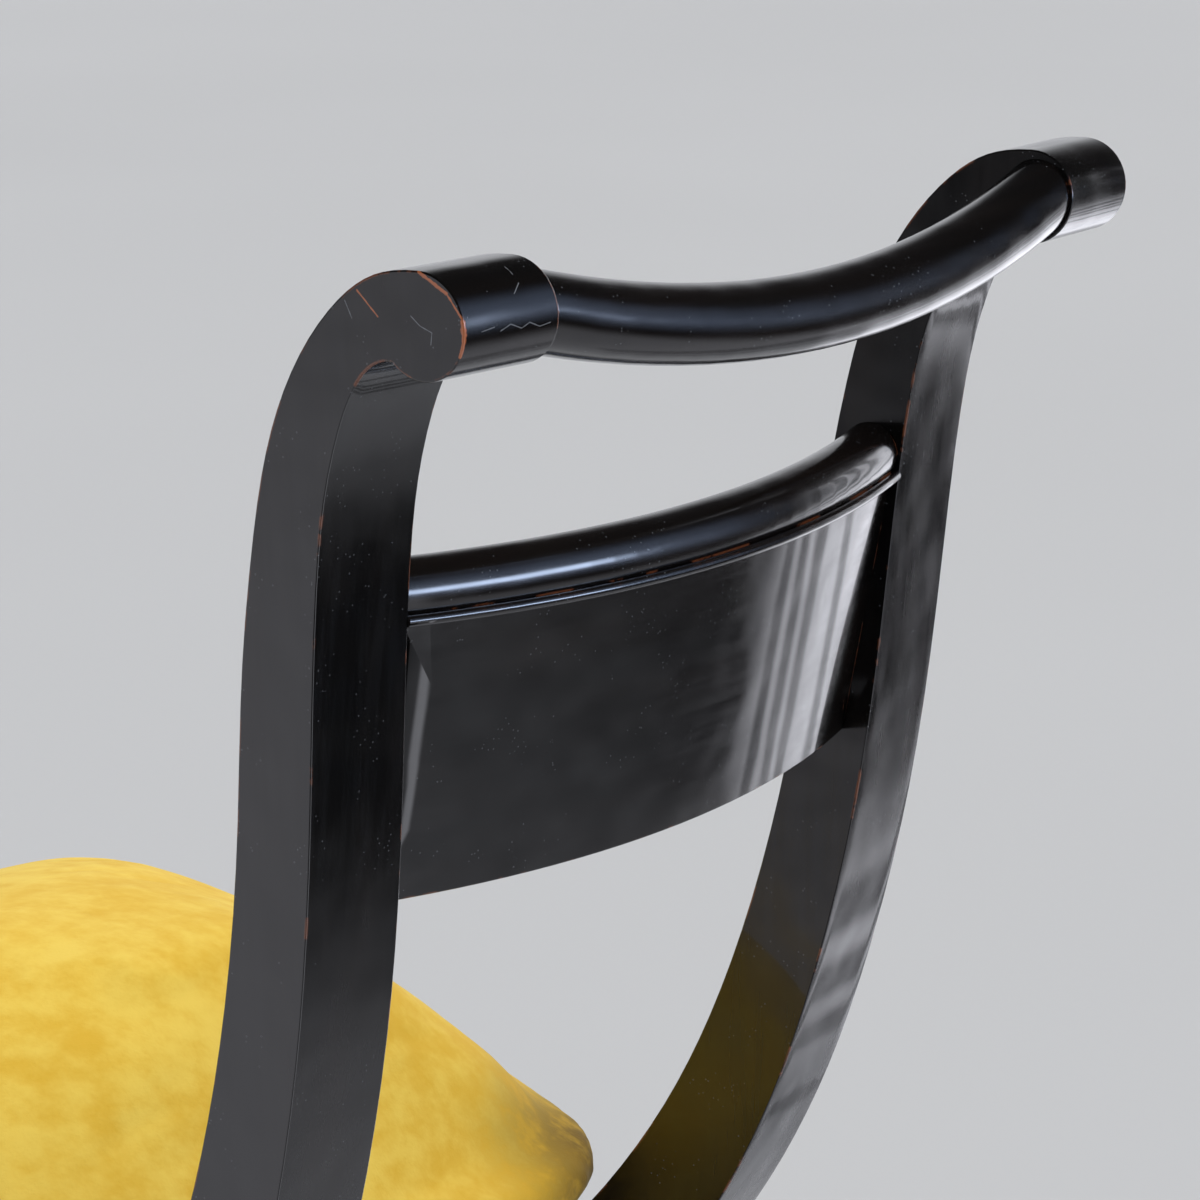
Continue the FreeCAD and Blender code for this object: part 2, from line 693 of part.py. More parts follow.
screws = {}
for end, plan, along in (("rear", rear_block_plan, -1), ("front", front_block_plan, 1)):
    corner, points = plan()
    blank = prism(end + "_block_blank", points, BLOCK_BOTTOM, alias="block_height")
    screws[end] = block_screws(end + "_screw", corner, along)
    block = less("left_" + end + "_corner_block", blank, [hole for _, hole in screws[end]])
    mirrored("right_" + end + "_corner_block", block)


def group(label, pieces):
    """Identical small pieces of both sides as separate solids of one node."""
    bundle = doc.addObject("Part::Compound", label)
    bundle.Label = label
    bundle.Links = pieces + [mirrored(piece.Name + "_right", piece) for piece in pieces]
    return bundle


group("corner_block_screws", [screws[end][i][0] for end in screws for i in (0, 1)])
group("seat_screws", [screws[end][2][0] for end in screws])

# Seat rails.

rail_body = new_body("side_rail_blank", Placement(Vector(0, 0, RAIL_BOTTOM), Rotation()))
rail_sketch = sketch_on(rail_body, "XY_Plane", "side_rail_plan", bent_outline())
pad(rail_body, rail_sketch, "side_rail_pad", alias="rail_depth")
side_solid = joined("side_rail_with_tenon", [rail_body, side_tenon])
left_side_rail = less("left_side_rail", side_solid,
                      [knee_hollow(), seat_well, foot_mortise, leg_mortise, rear_mortise,
                       screws["rear"][1][1], screws["front"][1][1]])
right_side_rail = mirrored("right_side_rail", left_side_rail)


def cross_rail(label, front_y, back_y, side, way, peg, hole):
    """A rail between the two sides, its ends cut to their inner faces."""
    half = [Vector(across_at(side, way, back_y), back_y, 0), Vector(across_at(side, way, front_y), front_y, 0)]
    blank = prism(label + "_blank", both_halves(half), RAIL_BOTTOM, alias="rail_depth")
    whole = joined(label + "_with_tenons", [blank, peg, mirrored(label + "_tenon_right", peg)])
    return less(label, whole, [seat_well, hole, mirrored(label + "_hole_right", hole)])


cross_rail("front_rail", FRONT_RAIL_FACE, FRONT_RAIL_BACK, LEG_INNER, RAIL_WAY, front_tenon,
           screws["front"][0][1])
cross_rail("rear_rail", REAR_RAIL_FACE, REAR_RAIL_BACK, BLOCK_INNER, BLOCK_WAY, rear_tenon,
           screws["rear"][0][1])

# Legs: sabre curves sawn from the side, then tapered across towards the floor.


def sabre(top, foot, hollow, side):
    """Arc of a leg's edge, bowed by its hollow towards one side of the straight line."""
    run = foot - top
    normal = Vector(-run.y, run.x, 0).normalize() * side
    return Part.Arc(top, (top + foot) / 2 + normal * hollow, foot)


def front_leg_edges():
    depth = size("front_leg_depth")
    top_back = Vector(0, size("rail_top"), 0)
    top_front = Vector(-depth, size("rail_top"), 0)
    toe = Vector(-size("front_leg_throw"), 0, 0)
    heel = toe + Vector(size("front_leg_foot"), 0, 0)
    shoulder_front = Vector(-depth, RAIL_BOTTOM, 0)
    shoulder_back = Vector(0, RAIL_BOTTOM, 0)
    sweep = size("front_leg_sweep")
    return [Part.LineSegment(top_back, top_front), Part.LineSegment(top_front, shoulder_front),
            sabre(shoulder_front, toe, sweep, 1), Part.LineSegment(toe, heel),
            sabre(shoulder_back, heel, sweep, 1), Part.LineSegment(shoulder_back, top_back)]


def rear_leg_edges():
    root = size("knee_radius") ** 2 - (size("rail_depth") - size("knee_drop")) ** 2
    knee = -size("foot_setback") - size("knee_reach") + size("knee_radius") - math.sqrt(root)
    top_back = Vector(knee, RAIL_BOTTOM, 0)
    top_front = Vector(-size("foot_setback") - size("foot_length"), RAIL_BOTTOM, 0)
    heel = Vector(size("rear_leg_throw"), 0, 0)
    toe = heel - Vector(size("rear_leg_foot"), 0, 0)
    sweep = size("rear_leg_sweep")
    return [Part.LineSegment(top_back, top_front), sabre(top_front, toe, sweep, -1),
            Part.LineSegment(toe, heel), sabre(top_back, heel, sweep, -1)]


def sawn_leg(label, place, edges, width_alias):
    width = size(width_alias)
    body = new_body(label, place)
    sketch = sketch_on(body, "YZ_Plane", label + "_profile", edges)
    pad(body, sketch, label + "_pad", alias=width_alias, reverse=True)
    taper = size("leg_taper")
    waste = []
    for face, way in ((0, -1), (-width, 1)):
        waste += outline([Vector(face, RAIL_BOTTOM, 0), Vector(face, 0, 0), Vector(face + way * taper, 0, 0)])
    waste_sketch = sketch_on(body, "XZ_Plane", label + "_taper_waste", waste)
    pocket = body.newObject("PartDesign::Pocket", label + "_taper")
    pocket.Profile = waste_sketch
    pocket.Type = "ThroughAll"
    pocket.Midplane = True
    return body


front_blank = sawn_leg("front_leg_blank", FRONT, front_leg_edges(), "front_leg_width")
left_front_leg = less("left_front_leg", front_blank, [side_mortise, front_mortise, seat_well])
mirrored("right_front_leg", left_front_leg)

rear_blank = sawn_leg("rear_leg_blank", REAR, rear_leg_edges(), "stile_width")
left_rear_leg = joined("left_rear_leg", [rear_blank, leg_tenon])
mirrored("right_rear_leg", left_rear_leg)

# Loose seat frame: four rails half-lapped at the corners.


def seat_frame_plans():
    """Left halves of the plans: rear and front rails whole and between the laps, and a side rail."""
    width = size("seat_rail_width")
    a, b, c, d = seat_half(0)
    inner_rear = a - ACROSS * size("seat_gap")
    inner_front = d - ACROSS * width

    def inside(y):
        return Vector(across_at(inner_rear, inner_front - inner_rear, y), y, 0)

    rear_y = a.y - width
    front_y = d.y + width
    slant = Vector(across_at(b, c - b, rear_y), rear_y, 0)
    front_corner = Vector(across_at(c, RAIL_WAY, front_y), front_y, 0)
    rear = [a, b, slant]
    rear_between = [inside(a.y), inside(rear_y)]
    front = [front_corner, d]
    front_between = [inside(front_y), inside(d.y)]
    side = [inside(a.y), a, b, c, d, inside(d.y)]
    side_between = [inside(rear_y), slant, c, front_corner, inside(front_y)]
    return rear, rear_between, front, front_between, side, side_between


SEAT_TOP = SEAT_LEDGE + size("seat_rail_thickness")
HALF_LAP = size("seat_rail_thickness") / 2
rear, rear_between, front, front_between, side, side_between = seat_frame_plans()
seat_holes = [screws[end][2][1] for end in screws]
right_seat_holes = [mirrored(hole.Name + "_right", hole) for hole in seat_holes]


def lapped(label, whole, between, whole_on_top, holes):
    low, high = (between, whole) if whole_on_top else (whole, between)
    lower = prism(label + "_lower", low, SEAT_LEDGE, HALF_LAP)
    upper = prism(label + "_upper", high, SEAT_LEDGE + HALF_LAP, HALF_LAP)
    return less(label, joined(label + "_rail", [lower, upper]), holes)


lapped("seat_frame_rear", both_halves(rear), both_halves(rear_between), True, seat_holes + right_seat_holes)
lapped("seat_frame_front", both_halves(front), both_halves(front_between), True, seat_holes + right_seat_holes)
left_seat_rail = lapped("seat_frame_left", side, side_between, False, seat_holes)
mirrored("seat_frame_right", left_seat_rail)

# Webbing, hessian and bottoming cloth of the loose seat.


def straps():
    """Webbing tacked on top of the seat frame: three straps lengthwise, then four across."""
    a, b, c, d = seat_half(0)
    edge = size("web_thickness") * 6
    width = size("web_width")
    thick = size("web_thickness")
    run = a.y - d.y - 2 * edge
    pitch = (a.x - edge - width / 2) * 0.95
    lengthwise = []
    for i in (-1, 0, 1):
        place = Placement(Vector(i * pitch - width / 2, d.y + edge, SEAT_TOP), Rotation())
        lengthwise.append(box("web_long_%d" % (i + 2), place, width, run, thick,
                              Length="web_width", Height="web_thickness"))
    crosswise = []
    step = run / 4
    for i in range(4):
        y = d.y + edge + step * (i + 0.5)
        back = y + width / 2
        half = min(across_at(c, RAIL_WAY, back), across_at(b, c - b, back), across_at(a, b - a, back)) - edge
        place = Placement(Vector(-half, y - width / 2, SEAT_TOP + thick), Rotation())
        crosswise.append(box("web_cross_%d" % (i + 1), place, 2 * half, width, thick,
                             Width="web_width", Height="web_thickness"))
    return lengthwise, crosswise


def collected(label, pieces):
    bundle = doc.addObject("Part::Compound", label)
    bundle.Label = label
    bundle.Links = pieces
    return bundle


lengthwise, crosswise = straps()
collected("webbing_lengthwise", lengthwise)
collected("webbing_crosswise", crosswise)
WEB_TOP = SEAT_TOP + 2 * size("web_thickness")
hessian_plan = seat_half(-6 * size("web_thickness"))
prism("hessian", both_halves(hessian_plan), WEB_TOP, alias="cloth_thickness")
gap = size("seat_gap")
cloth_rear = inner_rail_point(BLOCK_INNER.y - gap)
cloth_half = [Vector(cloth_rear.x - gap, REAR_RAIL_FACE - gap, 0),
              inner_rail_point(LEG_INNER.y + gap) - ACROSS * gap,
              Vector(LEG_INNER.x - gap, LEG_INNER.y + gap, 0),
              Vector(LEG_INNER.x - gap, FRONT_RAIL_BACK + gap, 0)]
cloth_blank = prism("bottoming_blank", both_halves(cloth_half), SEAT_LEDGE - CLOTH, alias="cloth_thickness")
less("bottoming_cloth", cloth_blank, seat_holes + right_seat_holes)

# Cushion: lofted through outlines of lines and arcs, from the rail tops over the swollen
# sides to the top of the dome. Its rear corners are drawn in round the stiles' feet.


def stile_front_at(height):
    """Inner front edge of the left stile at a height above the floor, found by halving."""
    drop = (size("crest_height") - height) / cosine(LEAN)
    curve = stile_edges()[0]
    above, below = curve.FirstParameter, curve.LastParameter
    for _ in range(30):
        middle = (above + below) / 2
        if curve.value(middle).y > -drop:
            above = middle
        else:
            below = middle
    return stile_point(size("stile_width"), curve.value(above).x, -drop)


def cushion_outline(height, full, slope, scale, shift, inset):
    """Closed outline of eight arcs: full is its share of the swell, slope its rise to the front."""
    room = size("stile_room") + inset
    reach = size("foot_length")
    bulge = 0.06 * reach
    swell = full * size("seat_swell")
    frame_back = CREST_Y - size("seat_rear_run")
    back_y = frame_back + full * (REAR_RAIL_BACK + size("seat_swell") - frame_back) - bulge - inset
    hug = stile_front_at(height)
    mid = Vector(hug.x - room, min(hug.y - room, back_y - bulge), 0)
    start = Vector(mid.x - (0.35 + 0.25 * full) * reach, back_y, 0)
    lip = lip_line(swell - inset)
    end_y = mid.y - size("seat_notch")
    end = Vector(across_at(lip, RAIL_WAY, end_y), end_y, 0)
    front_y = CREST_Y - seat_front_run() - swell + inset
    turn = reach * (0.3 + 0.7 * full)
    side_end = Vector(across_at(lip, RAIL_WAY, front_y + turn), front_y + turn, 0)
    front_end = Vector(side_end.x - turn, front_y, 0)
    front_mid = Vector(side_end.x - 0.27 * turn, front_y + 0.27 * turn, 0)
    side_mid = (end + side_end) / 2 + Vector(0.2 * reach * full, 0, 0)
    back_mid = Vector(0, back_y + bulge, 0)
    nose = Vector(0, front_y - 0.2 * reach * full, 0)
    centre = Vector(0, (back_y + front_y) / 2 + shift, 0)

    def placed(point, side=1):
        spot = centre + (point - centre) * scale
        return Vector(side * spot.x, spot.y, height + slope * (frame_back - spot.y))

    arcs = []
    for a, b, c in ((start, mid, end), (end, side_mid, side_end), (side_end, front_mid, front_end)):
        arcs.append((placed(a), placed(b), placed(c)))
    right = [(placed(c, -1), placed(b, -1), placed(a, -1)) for a, b, c in
             ((side_end, front_mid, front_end), (end, side_mid, side_end), (start, mid, end))]
    arcs.append((placed(front_end), placed(nose), placed(front_end, -1)))
    arcs += right
    arcs.append((placed(start, -1), placed(back_mid), placed(start)))
    return Part.Wire([Part.Arc(a, b, c).toShape() for a, b, c in arcs])


# Sides of the cushion: share of the shoulder's height. Its dome: share of the crown's rise.
SIDE_LEVELS = [0, 0.12, 0.25, 0.4, 0.55, 0.7, 0.85]
DOME_LEVELS = [0, 0.2, 0.4, 0.6, 0.78, 0.9, 0.97]


def cushion(label, inset):
    """A closed dome on the rail tops, inset from the velvet's outer face."""
    rise = size("seat_edge_rise")
    slope = size("seat_slope") / (seat_front_run() - size("seat_rear_run"))
    wires = []
    for share in SIDE_LEVELS:
        height = size("rail_top") + share * rise
        full = 0.1 + 0.9 * sine(90 * min(1, share / 0.7))
        wires.append(cushion_outline(height, full, slope * share, 1, 0, inset))
    for share in DOME_LEVELS:
        height = size("rail_top") + rise + share * size("seat_crown") - inset
        scale = 0.96 * math.sqrt(1 - share)
        wires.append(cushion_outline(height, 0.8, slope, scale, share * size("seat_crown_back"), inset))
    sections = []
    for i, wire in enumerate(wires, start=1):
        section = doc.addObject("Part::Feature", "%s_section_%d" % (label, i))
        section.Shape = wire
        sections.append(section)
    loft = doc.addObject("Part::Loft", label)
    loft.Label = label
    loft.Sections = sections
    loft.Solid = True
    loft.Ruled = False
    return loft


cover_outside = cushion("cover_outside", 0)
room = 2 * size("seat_clearance")
left_hollow = sawn_stile("stile_hollow", Vector(-room, -room, 0))
stile_hollows = [left_hollow, mirrored("stile_hollow_right", left_hollow)]
deep = room + 2 * size("cover_thickness")
deep_hollow = sawn_stile("deep_hollow", Vector(-deep, -deep, 0))
deep_hollows = [deep_hollow, mirrored("deep_hollow_right", deep_hollow)]
lining = less("cover_lining", cushion("cover_inside", size("cover_thickness")), deep_hollows)
less("seat_cover", cover_outside, [lining] + stile_hollows)
stuffing_dome = cushion("stuffing_dome", size("cover_thickness") + 2 * size("seat_clearance"))
reach = size("crest_width")
under = box("under_stuffing", Placement(Vector(-reach, -reach, RAIL_BOTTOM), Rotation()),
            2 * reach, 2 * reach, WEB_TOP + CLOTH - RAIL_BOTTOM)
less("seat_stuffing", stuffing_dome, [under] + deep_hollows)

# The finished nodes, one file each.

NODES = ["left_stile", "right_stile", "crest_rail", "back_panel", "left_side_rail", "right_side_rail",
         "front_rail", "rear_rail", "left_front_leg", "right_front_leg", "left_rear_leg",
         "right_rear_leg", "left_front_corner_block", "right_front_corner_block",
         "left_rear_corner_block", "right_rear_corner_block", "corner_block_screws", "seat_screws",
         "seat_frame_front", "seat_frame_rear", "seat_frame_left", "seat_frame_right",
         "webbing_lengthwise", "webbing_crosswise", "hessian", "bottoming_cloth", "seat_stuffing",
         "seat_cover"]

doc.recompute()
for thing in doc.Objects:
    if "Invalid" in thing.State or "Error" in thing.State:
        raise RuntimeError("%s did not build" % thing.Name)
os.makedirs("parts", exist_ok=True)
for name in NODES:
    shape = doc.getObject(name).Shape
    if shape.isNull() or not shape.isValid():
        raise RuntimeError("%s has no sound shape" % name)
    shape.exportStep("parts/%s.step" % name)
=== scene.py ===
# %% [markdown]
# # An ebonised klismos chair with a golden velvet seat
# A klismos has sabre legs and a back whose two side members, the stiles, sweep backwards and
# end in scrolls. This one is beech, stained black and rubbed to a satin, with a loose seat
# stuffed to a high dome. The imported CAD model is loaded first, because every piece made here
# sits on it or takes its place.

# %% Load the frame
import math

import bpy
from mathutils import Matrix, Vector


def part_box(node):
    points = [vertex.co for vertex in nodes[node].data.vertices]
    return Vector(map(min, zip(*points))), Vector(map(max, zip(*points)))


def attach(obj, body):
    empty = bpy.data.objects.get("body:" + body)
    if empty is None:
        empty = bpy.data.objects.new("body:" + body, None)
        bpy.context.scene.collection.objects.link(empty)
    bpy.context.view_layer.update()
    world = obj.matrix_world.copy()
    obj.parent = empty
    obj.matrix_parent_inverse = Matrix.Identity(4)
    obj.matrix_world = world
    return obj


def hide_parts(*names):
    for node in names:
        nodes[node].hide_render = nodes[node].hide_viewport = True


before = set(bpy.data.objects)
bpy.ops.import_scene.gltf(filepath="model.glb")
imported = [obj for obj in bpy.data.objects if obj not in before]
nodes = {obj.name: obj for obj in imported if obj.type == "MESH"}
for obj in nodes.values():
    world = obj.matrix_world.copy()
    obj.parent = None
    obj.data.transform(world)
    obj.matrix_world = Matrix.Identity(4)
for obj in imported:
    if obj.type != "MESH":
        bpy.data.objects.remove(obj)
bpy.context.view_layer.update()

# %% [markdown]
# ## The camera
# The picture was taken from behind the chair and to the sitter's left, with a long lens from
# a little above the top rail. Its place was found by fitting the CAD outlines of both
# scrolls, the rail and the panel to the picture. A long lens keeps the two stiles nearly
# parallel, so the distance matters as much as the direction.

# %% Set up the camera
CAMERA_PLACE = Vector((1.3824, 1.14115, 1.0646))
CAMERA_LOOK = Vector((-0.807, -0.5514, -0.2112))
CAMERA_LENS = 144.63

camera_data = bpy.data.cameras.new("camera")
camera_data.sensor_width = 36
camera_data.lens = CAMERA_LENS
camera = bpy.data.objects.new("camera", camera_data)
camera.location = CAMERA_PLACE
camera.rotation_euler = CAMERA_LOOK.to_track_quat("-Z", "Y").to_euler()
bpy.context.collection.objects.link(camera)
bpy.context.scene.camera = camera
bpy.context.scene.view_settings.view_transform = "Standard"
print("camera", round(CAMERA_PLACE.length, 2), "m from the chair's foot")

# %% [markdown]
# ## Small helpers for node trees
# Every material below is a net of nodes. A few helpers keep the cells short. They add a node
# and set its values, join an output to an input, and make sums, ramps, mixes and noises. One
# starts a node group with named sockets, so that an effect is made once and used in several
# finishes.

# %% Helpers for node trees
def add_node(tree, kind, values=None, **settings):
    made = tree.nodes.new(kind)
    for name, value in settings.items():
        setattr(made, name, value)
    for name, value in (values or {}).items():
        made.inputs[name].default_value = value
    return made


def join(tree, start, end):
    tree.links.new(start, end)


def math_node(tree, operation, first, second=0.0, clamp=False):
    made = add_node(tree, "ShaderNodeMath", operation=operation, use_clamp=clamp)
    for socket, value in zip(made.inputs, (first, second)):
        if isinstance(value, (int, float)):
            socket.default_value = value
        else:
            join(tree, value, socket)
    return made.outputs[0]


def ramp(tree, value, low, high, start=0.0, end=1.0):
    """start below low, end above high, smooth between them."""
    made = add_node(tree, "ShaderNodeMapRange", interpolation_type="SMOOTHSTEP",
                    values={"From Min": low, "From Max": high, "To Min": start, "To Max": end})
    join(tree, value, made.inputs["Value"])
    return made.outputs["Result"]


def mixed(tree, share, first, second):
    """A colour between two colours, each written as numbers or taken from a socket."""
    made = add_node(tree, "ShaderNodeMix", data_type="RGBA")
    for name, value in (("Factor", share), ("A", first), ("B", second)):
        sockets = [s for s in made.inputs if s.name == name and s.enabled]
        if isinstance(value, float):
            sockets[0].default_value = value
        elif isinstance(value, tuple):
            sockets[0].default_value = (*value, 1)
        else:
            join(tree, value, sockets[0])
    return [s for s in made.outputs if s.enabled][0]


def start_group(name, inputs, outputs):
    group = bpy.data.node_groups.new(name, "ShaderNodeTree")
    for label, kind, value in inputs:
        socket = group.interface.new_socket(label, in_out="INPUT", socket_type=kind)
        socket.default_value = value
    for label, kind in outputs:
        group.interface.new_socket(label, in_out="OUTPUT", socket_type=kind)
    return group, group.nodes.new("NodeGroupInput"), group.nodes.new("NodeGroupOutput")


def use_group(tree, group, **values):
    made = add_node(tree, "ShaderNodeGroup", node_tree=group)
    for name, value in values.items():
        made.inputs[name.replace("_", " ")].default_value = value
    return made


FLOAT = "NodeSocketFloat"
VECTOR = "NodeSocketVector"


def place_on_object(tree, scale=(1, 1, 1)):
    where = add_node(tree, "ShaderNodeTexCoord")
    mapping = add_node(tree, "ShaderNodeMapping", values={"Scale": scale})
    join(tree, where.outputs["Object"], mapping.inputs["Vector"])
    return mapping.outputs["Vector"]


def noise(tree, place, scale, detail=2.0, roughness=0.5):
    made = add_node(tree, "ShaderNodeTexNoise",
                    values={"Scale": scale, "Detail": detail, "Roughness": roughness})
    join(tree, place, made.inputs["Vector"])
    return made.outputs["Fac"]


def start_material(name):
    """A material with a Principled shader and the pieces of its tree."""
    material = bpy.data.materials.new(name)
    material.use_nodes = True
    tree = material.node_tree
    return material, tree, tree.nodes["Principled BSDF"]


# %% [markdown]
# ## Floor and soft light
# The real chair stands on a pale floor that runs out of the picture on all sides. A wide
# plane gives it. Even light from the world and one broad, soft sun light every place of the
# floor alike, so the ground stays a calm grey and a colour renders about as it is written.

# %% Floor and soft light
FLOOR_GREY = (0.56, 0.566, 0.578)
FLOOR_REACH = 80
FLOOR_SHADE = 0.93
SUN_STRENGTH = 1.75
SUN_SPREAD = 50
SUN_COLOUR = (1.0, 0.98, 0.95)
SUN_WAY = Vector((0.35, -0.45, -1))

bpy.ops.object.select_all(action="DESELECT")
bpy.ops.mesh.primitive_plane_add(size=FLOOR_REACH, location=(0, 0, 0))
floor = bpy.context.object
floor.name = "floor"
floor.visible_glossy = False
floor_paint, tree, shader = start_material("floor_paint")
patches = noise(tree, place_on_object(tree), 0.5)
shade = mixed(tree, patches, FLOOR_GREY, tuple(FLOOR_SHADE * c for c in FLOOR_GREY))
join(tree, shade, shader.inputs["Base Color"])
shader.inputs["Roughness"].default_value = 0.9
floor.data.materials.append(floor_paint)

sun_data = bpy.data.lights.new("soft_sun", "SUN")
sun_data.energy = SUN_STRENGTH
sun_data.angle = math.radians(SUN_SPREAD)
sun_data.color = SUN_COLOUR
sun = bpy.data.objects.new("soft_sun", sun_data)
sun.rotation_euler = SUN_WAY.to_track_quat("-Z", "Y").to_euler()
sun.visible_glossy = False
bpy.context.collection.objects.link(sun)
print("sun", sun_data.energy, "floor", FLOOR_REACH, "m")

# %% [markdown]
# ## The room that the polish sees
# Black polished wood has hardly a colour of its own: what is seen is the room in it. So the
# world has a second face for reflections. It is a dim room with a long cool window low on
# one side, a pale wall with dark glazing bars beside it, and the bright floor below. Each
# patch is a soft box between two bearings and two heights, in degrees; bearings turn from
# +Y towards -X.

# %% World with a window for reflections
world = bpy.data.worlds.new("pale_room")
world.use_nodes = True
bpy.context.scene.world = world
tree = world.node_tree
direction = add_node(tree, "ShaderNodeTexCoord")
parts = add_node(tree, "ShaderNodeSeparateXYZ")
join(tree, direction.outputs["Generated"], parts.inputs[0])
TO_DEGREES = 180 / math.pi
leftward = math_node(tree, "MULTIPLY", parts.outputs["X"], -1.0)
bearing = math_node(tree, "MULTIPLY", math_node(tree, "ARCTAN2", leftward, parts.outputs["Y"]),
                    TO_DEGREES)
height = math_node(tree, "MULTIPLY", math_node(tree, "ARCSINE", parts.outputs["Z"]), TO_DEGREES)


def patch_mask(bearings, heights, soft):
    """1 inside a box of directions, falling to 0 over the soft degrees."""
    mask = None
    for value, (low, high) in ((bearing, bearings), (height, heights)):
        rise = ramp(tree, value, low - soft, low + soft)
        fall = ramp(tree, value, high - soft, high + soft, 1.0, 0.0)
        both = math_node(tree, "MULTIPLY", rise, fall)
        mask = both if mask is None else math_node(tree, "MULTIPLY", mask, both)
    return mask


DIM_ROOM = (0.015, 0.015, 0.016)
EVEN_DAYLIGHT = (0.60, 0.61, 0.63)
GLAZING_BARS = (75, 78, 81, 87)
BAR_HALF_WIDTH = 0.9
BAR_HEIGHTS = (-50, 30)
BAR_SOFT = 0.5
ROOM_PATCHES = [
    ("floor", (-200, 200), (-100, -27), 7, (0.45, 0.46, 0.50)),
    ("floor at the far side", (64, 118), (-100, -36), 7, (0.50, 0.51, 0.55)),
    ("wall behind the camera", (-185, -95), (-60, -8), 10, (0.80, 0.80, 0.87)),
    ("floor by the window", (-14, 20), (-62, -8), 9, (1.9, 1.93, 2.1)),
    ("backdrop", (98, 150), (-60, 20), 9, (0.60, 0.61, 0.64)),
    ("pale wall", (73, 108), (-30, 12), 3, (2.2, 2.22, 2.4)),
    ("light round the window", (-4, 56), (-8, 30), 12, (0.45, 0.58, 0.85)),
    ("window", (2, 42), (-1, 9), 3, (9.0, 11.0, 15.0)),
]
seen = DIM_ROOM
for label, bearings, heights, soft, colour in ROOM_PATCHES:
    seen = mixed(tree, patch_mask(bearings, heights, soft), seen, colour)
for bar in GLAZING_BARS:
    width = (bar - BAR_HALF_WIDTH, bar + BAR_HALF_WIDTH)
    seen = mixed(tree, patch_mask(width, BAR_HEIGHTS, BAR_SOFT), seen, DIM_ROOM)
path = add_node(tree, "ShaderNodeLightPath")
daylight = tree.nodes["Background"]
join(tree, mixed(tree, path.outputs["Is Glossy Ray"], EVEN_DAYLIGHT, seen),
     daylight.inputs["Color"])
print("room patches:", [p[0] for p in ROOM_PATCHES])

# %% [markdown]
# ## Effects that the wood finishes share
# Ebonised wood is stained and rubbed by hand. Four effects tell that story: fine streaks of
# the rubbing cloth along the grain, copper-coloured wear where the stain has gone from the
# arrises, single scuffs, and a scatter of dust and small knocks. Each is a node group that
# the wood finishes share, and only the streaks turn with the grain.

# %% Rubbing streaks
streaks, entry, leave = start_group(
    "rubbing_streaks", [("Place", VECTOR, (0, 0, 0))], [("Fine", FLOAT), ("Broad", FLOAT)])
fine = noise(streaks, entry.outputs["Place"], 260.0, 3.0, 0.6)
broad = noise(streaks, entry.outputs["Place"], 24.0, 3.0, 0.55)
join(streaks, fine, leave.inputs["Fine"])
join(streaks, broad, leave.inputs["Broad"])

# %% Wear on the arrises
# The Bevel node gives the normal that a rounded edge would have. Where it differs from the
# true normal there is an arris, and a noise leaves the wear in broken lengths.
ARRIS_LIKENESS = 0.93
FLAT_LIKENESS = 0.995

rubbed, entry, leave = start_group(
    "rubbed_arris",
    [("Radius", FLOAT, 0.0013), ("Patch Size", FLOAT, 45.0), ("Bare", FLOAT, 0.54)],
    [("Mask", FLOAT)])
soft_edge = add_node(rubbed, "ShaderNodeBevel", samples=6)
join(rubbed, entry.outputs["Radius"], soft_edge.inputs["Radius"])
true_face = add_node(rubbed, "ShaderNodeNewGeometry")
likeness = add_node(rubbed, "ShaderNodeVectorMath", operation="DOT_PRODUCT")
join(rubbed, soft_edge.outputs["Normal"], likeness.inputs[0])
join(rubbed, true_face.outputs["Normal"], likeness.inputs[1])
arris = ramp(rubbed, likeness.outputs["Value"], ARRIS_LIKENESS, FLAT_LIKENESS, 1.0, 0.0)
patch = add_node(rubbed, "ShaderNodeTexNoise", values={"Detail": 4.0, "Roughness": 0.65})
join(rubbed, place_on_object(rubbed), patch.inputs["Vector"])
join(rubbed, entry.outputs["Patch Size"], patch.inputs["Scale"])
bare = math_node(rubbed, "SUBTRACT", patch.outputs["Fac"], entry.outputs["Bare"])
bare = ramp(rubbed, bare, 0.0, 0.08)
join(rubbed, math_node(rubbed, "MULTIPLY", arris, bare), leave.inputs["Mask"])

# %% Single scuffs
# The distance from a place to a short line gives one scratch. A noise makes it waver.
scuff, entry, leave = start_group(
    "scuff_line",
    [("Place", VECTOR, (0, 0, 0)), ("Start", VECTOR, (0, 0, 0)), ("End", VECTOR, (0, 0, 1)),
     ("Width", FLOAT, 0.0004), ("Waver", FLOAT, 0.5)],
    [("Mask", FLOAT)])


def vector_math(tree, operation, first, second, output="Vector"):
    made = add_node(tree, "ShaderNodeVectorMath", operation=operation)
    join(tree, first, made.inputs[0])
    join(tree, second, made.inputs[1])
    return made.outputs[output]


along = vector_math(scuff, "SUBTRACT", entry.outputs["End"], entry.outputs["Start"])
offset = vector_math(scuff, "SUBTRACT", entry.outputs["Place"], entry.outputs["Start"])
reach = math_node(scuff, "DIVIDE", vector_math(scuff, "DOT_PRODUCT", offset, along, "Value"),
                  vector_math(scuff, "DOT_PRODUCT", along, along, "Value"), clamp=True)
foot = add_node(scuff, "ShaderNodeVectorMath", operation="SCALE")
join(scuff, along, foot.inputs[0])
join(scuff, reach, foot.inputs["Scale"])
gap = vector_math(scuff, "DISTANCE", offset, foot.outputs["Vector"], "Value")
half_width = math_node(scuff, "MULTIPLY", entry.outputs["Width"], entry.outputs["Waver"])
inside = math_node(scuff, "DIVIDE", gap, half_width)
join(scuff, ramp(scuff, inside, 0.7, 1.3, 1.0, 0.0), leave.inputs["Mask"])

